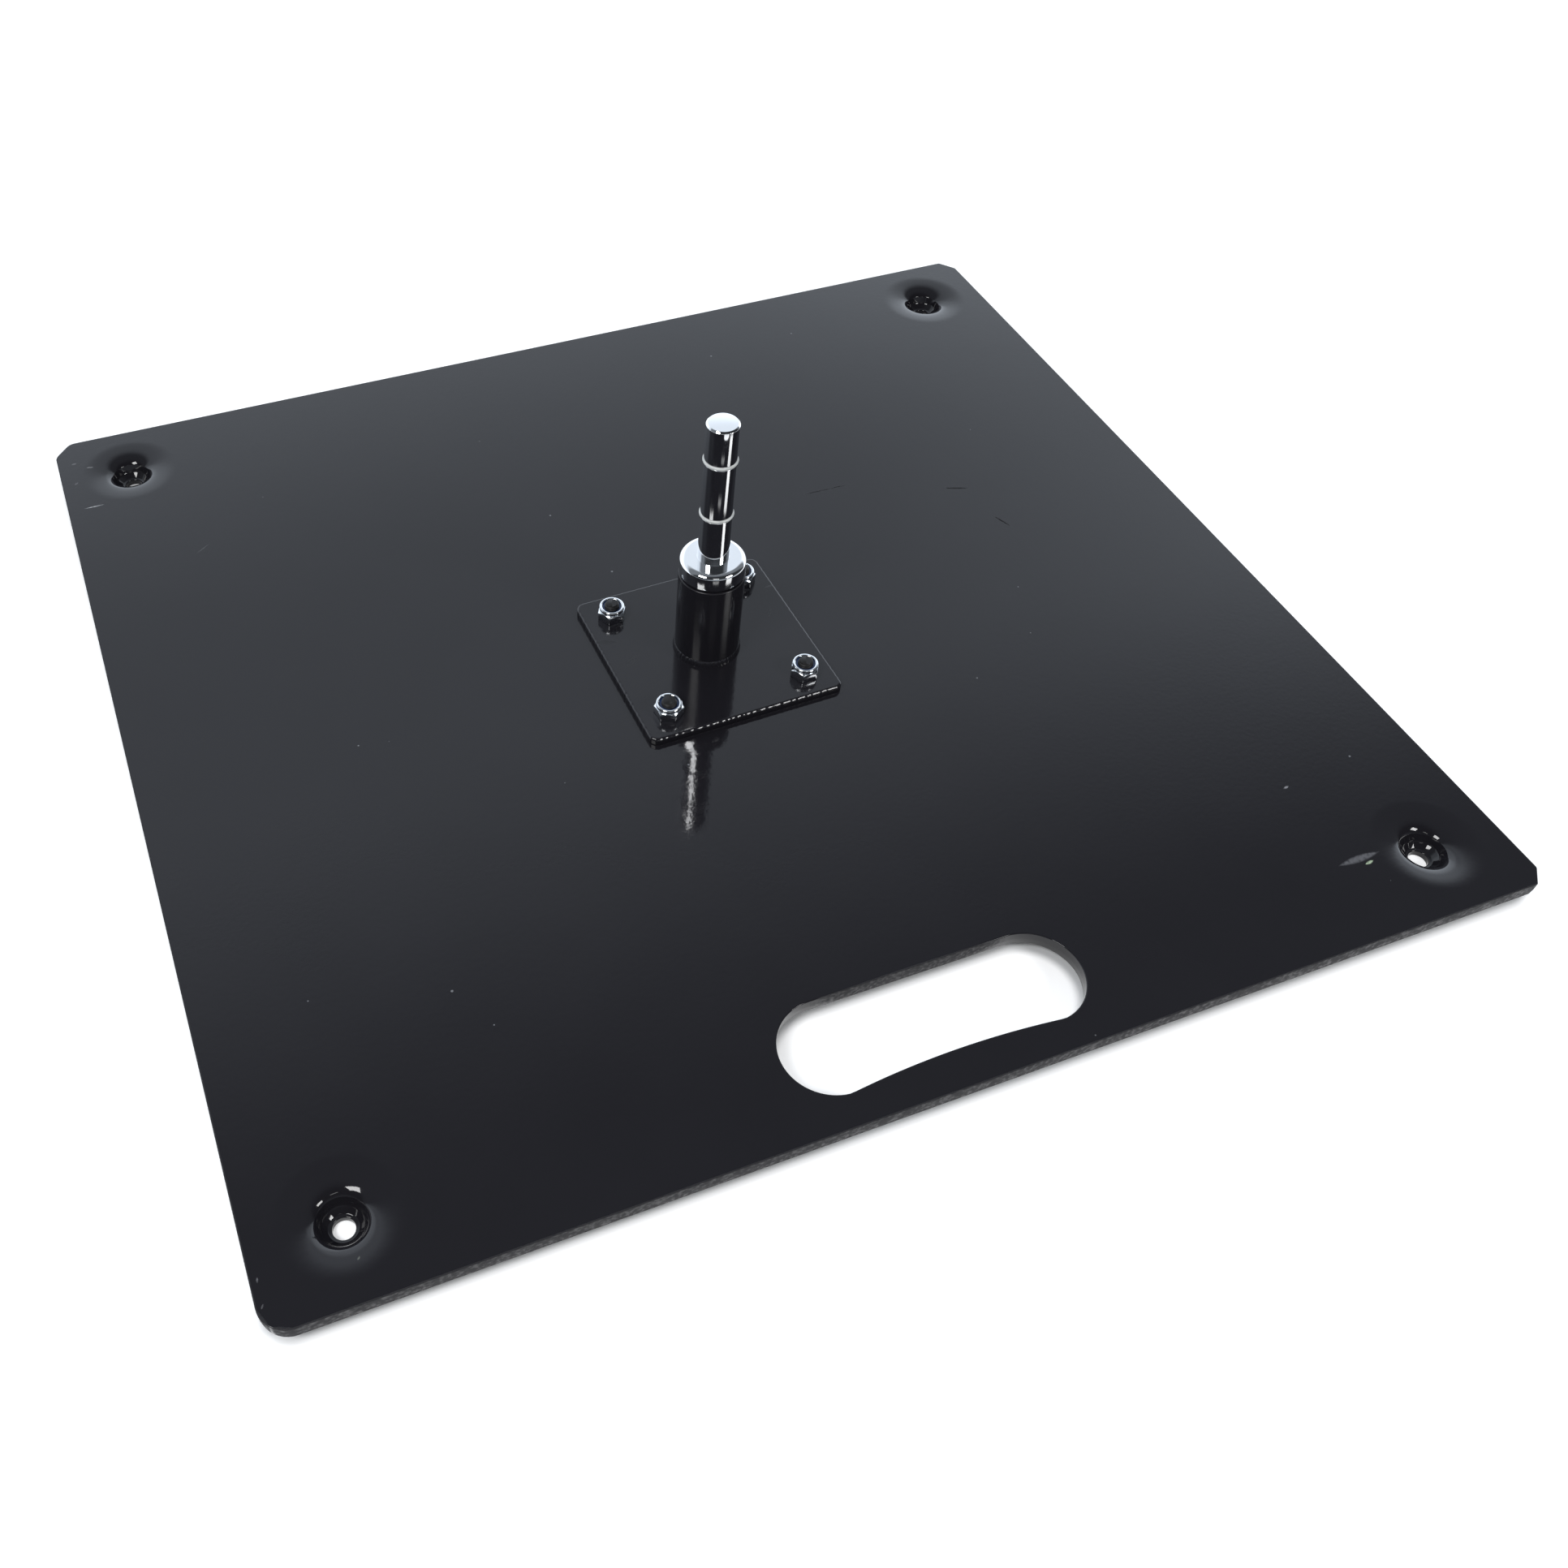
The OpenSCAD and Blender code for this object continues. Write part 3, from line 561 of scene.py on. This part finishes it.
# Mounting plate: a square of 3 mm steel, bolted on through the sheet, a little askew.
# Its cut edges were painted thickly, so the paint stands on them in small beads.
dull_smudge = (0.012, 0.012, 0.014)
mount_strokes = [
    (-40.0, 8.5, 9.0, 4.0, -20, dull_smudge, 0.42),
    (-34.5, -4.5, 8.0, 4.5, 30, dull_smudge, 0.42),
    (27.0, 2.0, 7.0, 2.5, 55, (0.010, 0.010, 0.012), 0.40),
    (33.0, 16.0, 5.0, 1.6, 10, (0.03, 0.03, 0.034), 0.40),
]
mount_paint = black_gloss_paint("mounting_plate_paint", 0.09, 0.13, mount_strokes, 0.35, 0.016)
mount_side, mount_t, mount_r, mount_bore = 79.7, 3.0, 3.5, 8.5
paint_gap = 0.05
mount_bottom = sheet_top + paint_gap
mount_top = sheet_top + mount_t
mount_corners = [hub + np.array(corner) * mount_side / 2 @ turned
                 for corner in ((-1, -1), (1, -1), (1, 1), (-1, 1))]
mount_outline = space_out(round_corners(mount_corners, mount_r, True, 6.0), 0.4)
rim_w, top_reach, bottom_reach = 0.65, 1.6, 1.3
mount_profile = round_corners([
    (-top_reach, mount_top), (-rim_w, mount_top), (0, mount_top - rim_w), (0, mount_bottom),
    (-bottom_reach, mount_bottom)], [0, 0.9, 0.6, 0.4, 0], False, 5.0)
mount_edge = edge_rings(mount_outline, mount_profile)

# The beads are a sum of sines of the way round the outline, and push the edge in, never out.
walk = np.cumsum(np.linalg.norm(np.roll(mount_outline, -1, axis=0) - mount_outline, axis=1))
lap = 2 * math.pi * walk / walk[-1]
bead = (np.sin(lap * 149) * (0.6 + 0.4 * np.sin(lap * 11)) + np.sin(lap * 97 + 1.3) * 0.8
        + np.sin(lap * 61 + 4.0) * 0.4) / 2.2
bead_height = 0.12
inside = np.arange(1, len(mount_profile) - 1)
mount_edge[inside, :, :2] -= (bead_height * (1 + bead))[None, :, None] * outward(mount_outline)[None]
bore_rings = turned_rings(np.array([(mount_bore, mount_top), (mount_bore, mount_bottom)]), hub)
clearance = np.array([(bolt_hole, mount_top), (bolt_hole, mount_bottom)])
clear_rings = [turned_rings(clearance, spot, 48) for spot in bolt_spots]
mount_holes = [bore_rings, *clear_rings]
mount_shells = [skin(mount_edge)] + [skin(rings, True) for rings in mount_holes]
mount_shells += [flat_face(mount_edge[0], [rings[0] for rings in mount_holes], True),
                 flat_face(mount_edge[-1], [rings[-1] for rings in mount_holes], False)]
add_piece("painted_mounting_plate", mount_shells, mount_paint, "base", ["mounting_plate"])

# Bearing tube: a short piece of 25 mm tube, faced at the top and grooved inside for a retaining ring.
# It was painted together with its weld, a thin bead whose ripples run round the foot.
tube_paint = black_gloss_paint("tube_paint", 0.15, 0.21, (), 0.3, 0.005)
weld_paint = black_gloss_paint("weld_paint", 0.06, 0.12, (), 0.3, 0.01)
tube_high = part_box("bearing_tube")[1] / MM
tube_top = tube_high[2]
tube_r = tube_high[0] - hub_x
tube_bore = 11.0
groove_high, groove_low, groove_r = tube_top - 1.15, tube_top - 2.25, tube_bore + 0.5
tube_profile = round_corners([
    (tube_bore, tube_top), (tube_r, tube_top), (tube_r, mount_top), (tube_bore, mount_top),
    (tube_bore, groove_low), (groove_r, groove_low), (groove_r, groove_high), (tube_bore, groove_high)],
    [0.2, 0.4, 0, 0, 0, 0, 0, 0], True, 15)
add_piece("painted_tube", [skin(turned_rings(tube_profile, hub, 128), False, True)], tube_paint, "base",
          ["bearing_tube"])

# The weld's face runs from the plate up to the tube. It swells by an arch times two waves round the tube,
# and never past the legs of the weld.
weld_angles = 360
around = np.arange(weld_angles) * 2 * math.pi / weld_angles
weld_leg, weld_h = 0.7, 2.5
ripple_size, arch_size = 0.15, 0.06
face_share = np.linspace(0, 1, 13)
arch = np.sin(face_share * math.pi)
reach = face_share ** 0.85
rise = 1 - face_share ** 1.15
drift = 0.04 * np.sin(around * 3 + 0.5) + 0.03 * np.sin(around * 7)
ripple = (np.cos(46 * around[None, :] + 1.6 * arch[:, None]) * (0.6 + 0.4 * np.cos(5 * around + 1.0))
          + 0.6 * np.cos(71 * around[None, :] + 2.0 + 0.8 * arch[:, None]))
middle = 1 - np.abs(2 * face_share - 1)
swell = 1 + arch[:, None] * (ripple_size * ripple + arch_size) + drift[None, :] * middle[:, None]
weld_radius = tube_r + weld_leg * np.minimum(1.0, reach[:, None] * swell)
weld_height = mount_top + weld_h * np.minimum(1.0, rise[:, None] * swell)
weld_x = hub_x + weld_radius * np.cos(around)
weld_y = hub_y + weld_radius * np.sin(around)
weld_face = np.stack([weld_x, weld_y, weld_height], axis=2)
inner_foot = turned_rings(np.array([(tube_r, mount_top)]), hub, weld_angles)
add_piece("painted_weld", [skin(np.concatenate([weld_face, inner_foot]), False, True)], weld_paint, "base",
          ["weld_bead"], 60)

# Bolts: four black countersunk socket bolts, pushed up from under the sheet.
# Only their chamfered ends show, a good millimetre over the nuts.
bolt_black, tree, shader, place = new_material("bolt_black_oxide", {"IOR": 1.45, "Metallic": 0.25})
oxide = noise(tree, place, 1.1, 4.0, 0.65)
colour = mix_colours(tree, oxide, (0.006, 0.006, 0.007), (0.022, 0.021, 0.021))
grain = noise(tree, place, 0.35, 2.0)
finish(tree, shader, colour, spread(tree, oxide, 0.3, 0.7, 0.38, 0.6), [(grain, 0.01)])

bolt_len = 16.0
bolt_end = sheet_bottom + bolt_len
end_chamfer = 0.7
thread_pitch = 1.0
thread_deep = 0.32
thread_low = mount_top + 3.9
socket_r, socket_deep = 2.0, 2.3
socket_top = sheet_bottom + socket_deep
bolt_columns = 48
rim_top = sheet_bottom + head_rim
end_rings = np.linspace(bolt_end - 0.06, thread_low, 34)
bolt_profile = np.array(
    [(0, bolt_end), (bolt_r - end_chamfer - 0.05, bolt_end)]
    + [(min(bolt_r, bolt_r - end_chamfer + bolt_end - height), height) for height in end_rings]
    + [(bolt_r, rim_top + head_r - bolt_r), (head_r - 0.05, rim_top + 0.05), (head_r, rim_top),
       (head_r, sheet_bottom + 0.1), (head_r - 0.1, sheet_bottom)])


def bolt_rings(spot):
    """A bolt: its profile turned, with r less the thread's depth * (0.5 - 0.5 cos(2 pi z / pitch - a))."""
    rings = turned_rings(bolt_profile, (0, 0), bolt_columns)
    turn = np.arange(bolt_columns) * 2 * math.pi / bolt_columns
    heights = rings[:, :, 2]
    wave = 0.5 - 0.5 * np.cos(2 * math.pi * heights / thread_pitch - turn[None, :])
    fade = np.clip((heights - thread_low) / 0.5, 0, 1) * np.clip((bolt_end - heights) / 0.4, 0, 1)
    radius = np.hypot(rings[:, :, 0], rings[:, :, 1])
    lean = np.where(radius > 0, 1 - thread_deep * wave * fade / np.maximum(radius, 0.1), 1.0)
    rings[:, :, :2] *= lean[:, :, None]
    from_flat = (turn + math.pi / 6) % (math.pi / 3) - math.pi / 6
    hexagon = np.stack([np.cos(turn), np.sin(turn)], axis=1) * (socket_r / np.cos(from_flat))[:, None]
    socket = [np.column_stack([hexagon * size, np.full(bolt_columns, height)])
              for size, height in ((1.04, sheet_bottom), (1.0, sheet_bottom + 0.1), (1.0, socket_top),
                                   (0.0, socket_top + 0.8))]
    rings = np.concatenate([rings, socket])
    rings[:, :, :2] += spot
    return rings


add_piece("countersunk_bolts", [skin(bolt_rings(spot)) for spot in bolt_spots], bolt_black, "base",
          ["mount_bolts"])

# Lock nuts: zinc-plated hexagons with a rolled collar, each tightened to its own angle.
# The plating is bright, with a fine grain and darker tints where it is thin.
zinc, tree, shader, place = new_material("bright_zinc", {"Metallic": 1.0})
colour = mix_colours(tree, noise(tree, place, 2.4, 3.0), (0.78, 0.81, 0.85), (0.88, 0.90, 0.92))
layers = [(noise(tree, place, 1.6, 2.0), 0.003), (noise(tree, place, 0.3, 1.0), 0.001)]
finish(tree, shader, colour, uneven(tree, place, 0.8, 4.0, 0.08, 0.15), layers)

nut_af, hex_h, nut_h = 10.0, 4.0, 5.7
nut_corner = nut_af / 2 / math.cos(math.pi / 6)
corner_chamfer = (nut_corner - nut_af / 2) * 0.9
collar_r, mouth_r, seat_r = 4.9, 3.75, 4.0
mouth_deep = 0.75
insert_t, insert_sunk = 1.4, 0.2
seat_z = nut_h - insert_sunk - insert_t
nut_edge_r, eased = 0.35, 0.992
nut_bore = bolt_r + 0.05
nut_turns = [58, 34, 58, 43]


def nut_rings(spot, turn):
    """A nut as rings: groove, chamfered hexagon, bore, mouth and the flattened arch of the rolled collar.

    A hexagon point at radius r lies below the top by (r - half the width across flats) times the
    slope of the corner chamfer, so each flat ends in a curve.
    """
    angles = np.radians(turn + np.arange(6) * 60) + mount_turn
    corners = nut_corner * np.stack([np.cos(angles), np.sin(angles)], axis=1)
    hexagon = space_out(round_corners(corners, nut_edge_r, True, 12.0), 0.35)
    radius = np.hypot(*hexagon.T)
    circle = hexagon / radius[:, None]
    drop = np.maximum(0, radius - nut_af / 2) / (nut_corner - nut_af / 2) * corner_chamfer
    rings = []

    def circle_ring(size, height):
        """Adds a round ring of this radius at this height."""
        rings.append(np.column_stack([circle * size, np.full(len(circle), height)]))

    circle_ring(collar_r - 0.4, hex_h - 0.05)
    circle_ring(nut_af / 2 - 0.06, hex_h)
    for size, height in ((eased, hex_h - drop), (1.0, hex_h - drop - 0.09), (1.0, drop / 2 + 0.08),
                         (eased, drop / 2)):
        rings.append(np.column_stack([hexagon * size, height]))
    for size, height in ((nut_af / 2 - 0.1, 0), (nut_bore, 0), (nut_bore, seat_z), (seat_r, seat_z),
                         (seat_r, nut_h - mouth_deep), (mouth_r, nut_h - mouth_deep)):
        circle_ring(size, height)
    for angle in np.radians(np.linspace(10, 180, 16)):
        circle_ring((collar_r + mouth_r) / 2 - (collar_r - mouth_r) / 2 * math.cos(angle),
                    nut_h - mouth_deep * (1 - math.sin(angle) ** 0.45))
    circle_ring(collar_r, hex_h + 0.45)
    circle_ring(collar_r - 0.12, hex_h + 0.2)
    rings = np.array(rings)
    rings[:, :, 2] += mount_top
    rings[:, :, :2] += spot
    return rings


nut_shells = [skin(nut_rings(spot, turn), False, True) for spot, turn in zip(bolt_spots, nut_turns)]
add_piece("zinc_lock_nuts", nut_shells, zinc, "base", ["lock_nuts"], 28)

# Nylon rings: blue inserts that grip the threads, rolled into the nuts' collars.
# The bolt has cut its way through, which leaves their inner edge raised.
blue_nylon, tree, shader, place = new_material("blue_nylon", {"IOR": 1.53})
colour = mix_colours(tree, noise(tree, place, 1.5, 3.0), (0.008, 0.024, 0.085), (0.016, 0.050, 0.160))
grain = noise(tree, place, 0.5, 2.0)
finish(tree, shader, colour, uneven(tree, place, 0.7, 2.0, 0.28, 0.45), [(grain, 0.012)])
insert_top = mount_top + nut_h - mouth_deep - 0.02
insert_profile = round_corners([
    (bolt_r, insert_top - 0.05), (bolt_r + 0.3, insert_top - 0.15), (seat_r, insert_top - 0.02),
    (seat_r, mount_top + seat_z), (bolt_r, mount_top + seat_z)],
    [0.05, 0.2, 0.05, 0, 0], True, 20.0)
insert_shells = [skin(turned_rings(insert_profile, spot, 64), False, True) for spot in bolt_spots]
add_piece("nylon_inserts", insert_shells, blue_nylon, "base", ["nut_inserts"])

# Spindle: one chromed turning with the shaft in the bearings, the flange that a pole rests on, and the pin.
# Fine turning marks run round it under the chrome, and two grooves hold the grip rings.
turned_values = {"Metallic": 1.0, "Anisotropic": 0.35, "Anisotropic Rotation": 0.25}
chrome, tree, shader, place = new_material("turned_chrome", turned_values)
tangent = add_node(tree, "Tangent", direction_type="RADIAL", axis="Z").outputs[0]
tree.links.new(tangent, shader.inputs["Tangent"])
colour = mix_colours(tree, noise(tree, place, 9.0, 3.0), (0.85, 0.865, 0.885), (0.90, 0.91, 0.925))
stretched = add_node(tree, "Mapping", {"Vector": place, "Scale": (0.02, 0.02, 1.0)}).outputs[0]
layers = [(noise(tree, stretched, 0.5, 2.0), 0.0006), (noise(tree, place, 6.0, 1.0), 0.003)]
finish(tree, shader, colour, uneven(tree, place, 3.0, 3.0, 0.035, 0.07), layers)

pin_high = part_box("spindle")[1] / MM
pin_top = pin_high[2]
flange_r = pin_high[0] - hub_x
shaft_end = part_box("spindle")[0][2] / MM
pin_r, pin_len, pin_chamfer = 5.9, 58.0, 0.6
flange_top = pin_top - pin_len
running_gap = 0.8
flange_bottom = tube_top + running_gap
shoulder_r, shaft_r = 5.7, 4.0
snap_groove, snap_r = 0.85, 3.8
snap_top, snap_low = mount_top, mount_top - snap_groove
upper_ring_drop, lower_ring_rise = 15.0, 20.0
ring_heights = {"upper": pin_top - upper_ring_drop, "lower": flange_top + lower_ring_rise}
groove_half, groove_floor = 0.75, 4.95
spindle_corners = [(0, pin_top, 0), (pin_r - pin_chamfer, pin_top, 0.1), (pin_r, pin_top - pin_chamfer, 0.12)]
for height in ring_heights.values():
    spindle_corners += [(pin_r, height + groove_half, 0.1), (groove_floor, height + groove_half, 0.2),
                        (groove_floor, height - groove_half, 0.2), (pin_r, height - groove_half, 0.1)]

# The flange's rim is crowned: an arc of radius crown_r that starts crown_w inside the rim.
crown_r, crown_w, rim_drop = 2.5, 2.25, 1.42
crown_turn = np.radians(np.linspace(0, 62, 13))
spindle_corners.append((pin_r, flange_top, 0.1))
spindle_corners += [
    (flange_r - crown_w + crown_r * math.sin(turn), flange_top - crown_r * (1 - math.cos(turn)), 0)
    for turn in crown_turn]
spindle_corners += [
    (flange_r, flange_top - rim_drop, 0.05), (flange_r, flange_bottom + 0.4, 0.12),
    (flange_r - 0.4, flange_bottom, 0.12), (shoulder_r, flange_bottom, 0.2), (shoulder_r, groove_low, 0.15),
    (shaft_r, groove_low, 0.0), (shaft_r, snap_top, 0.0), (snap_r, snap_top, 0.0), (snap_r, snap_low, 0.0),
    (shaft_r, snap_low, 0.0), (shaft_r, shaft_end + 0.5, 0.1), (shaft_r - 0.5, shaft_end, 0.1),
    (0, shaft_end, 0)]
spindle_corners = np.array(spindle_corners)
spindle_profile = round_corners(spindle_corners[:, :2], spindle_corners[:, 2], False, 11.25)
add_piece("chromed_spindle", [skin(turned_rings(spindle_profile, hub, 160))], chrome, "turning_spigot",
          ["spindle"], 32)

# Grip rings: pale rubber cords in the pin's grooves, which take up play in a pole's socket.
# Each has the fine flash line of its mould and a trace of grey from handling.
ring_rubber, tree, shader, place = new_material("pale_rubber", {"IOR": 1.48})
soil = noise(tree, place, 2.2, 4.0, 0.6)
handled = spread(tree, soil, 0.45, 0.75, 0.0, 1.0)
colour = mix_colours(tree, handled, (0.62, 0.63, 0.62), (0.46, 0.47, 0.46))
grain = noise(tree, place, 0.4, 2.0)
finish(tree, shader, colour, spread(tree, soil, 0.3, 0.7, 0.42, 0.58), [(grain, 0.006)])
cord_r = 0.65
ring_proud = 0.42
cord_points = 32
flash_h, flash_w = 0.025, 0.004
cord_angles = np.radians(90 - np.arange(cord_points) * 360 / cord_points)
flash = flash_h * np.exp(-((np.cos(cord_angles) - 1) / flash_w) ** 2)
for level, height in ring_heights.items():
    cord = np.stack([pin_r + ring_proud - cord_r + (cord_r + flash) * np.cos(cord_angles),
                     height + cord_r * np.sin(cord_angles)], axis=1)
    add_piece(level + "_rubber_ring", [skin(turned_rings(cord, hub, 128), False, True)], ring_rubber,
              "turning_spigot", [level + "_grip_ring"], 180)


# Bearings inside the tube: ground steel races, balls, shields, spacers and retaining rings.
# Their shapes are the frame's own, with a finish for each kind of part.
def ground_steel(name, dark, bright, grain, rough_low, rough_high):
    """Ground or stamped steel: a fine grain, a film of oil and small changes in its shine."""
    material, tree, shader, place = new_material(name, {"Metallic": 1.0})
    colour = mix_colours(tree, noise(tree, place, 3.5, 3.0), dark, bright)
    lines = add_node(tree, "Mapping", {"Vector": place, "Scale": (0.1, 0.1, 1.0)}).outputs[0]
    layers = [(noise(tree, lines, grain, 2.0), 0.002)]
    finish(tree, shader, colour, uneven(tree, place, 1.2, 3.0, rough_low, rough_high), layers)
    return material


race_steel = ground_steel("race_steel", (0.55, 0.56, 0.58), (0.66, 0.67, 0.69), 0.4, 0.12, 0.22)
ball_steel = ground_steel("ball_steel", (0.68, 0.69, 0.71), (0.76, 0.77, 0.79), 2.0, 0.03, 0.08)
spring_steel = ground_steel("spring_steel", (0.20, 0.20, 0.21), (0.34, 0.34, 0.35), 0.6, 0.3, 0.45)
cage_nylon, tree, shader, place = new_material("cage_nylon", {"IOR": 1.53})
colour = mix_colours(tree, noise(tree, place, 2.0, 3.0), (0.72, 0.67, 0.55), (0.80, 0.76, 0.65))
grain = noise(tree, place, 0.6, 2.0)
finish(tree, shader, colour, uneven(tree, place, 0.9, 2.0, 0.38, 0.52), [(grain, 0.01)])

bearing_finishes = {
    "outer_race": race_steel, "inner_race": race_steel, "balls": ball_steel, "cage": cage_nylon,
    "shields": race_steel, "outer_spacer": race_steel, "inner_spacer": race_steel,
    "tube_retaining_ring": spring_steel, "shaft_retaining_ring": spring_steel}
for node_name, node_object in frame["nodes"].items():
    kind = node_name.removeprefix("lower_").removeprefix("upper_")
    if kind in bearing_finishes:
        node_object.data.materials.clear()
        node_object.data.materials.append(bearing_finishes[kind])
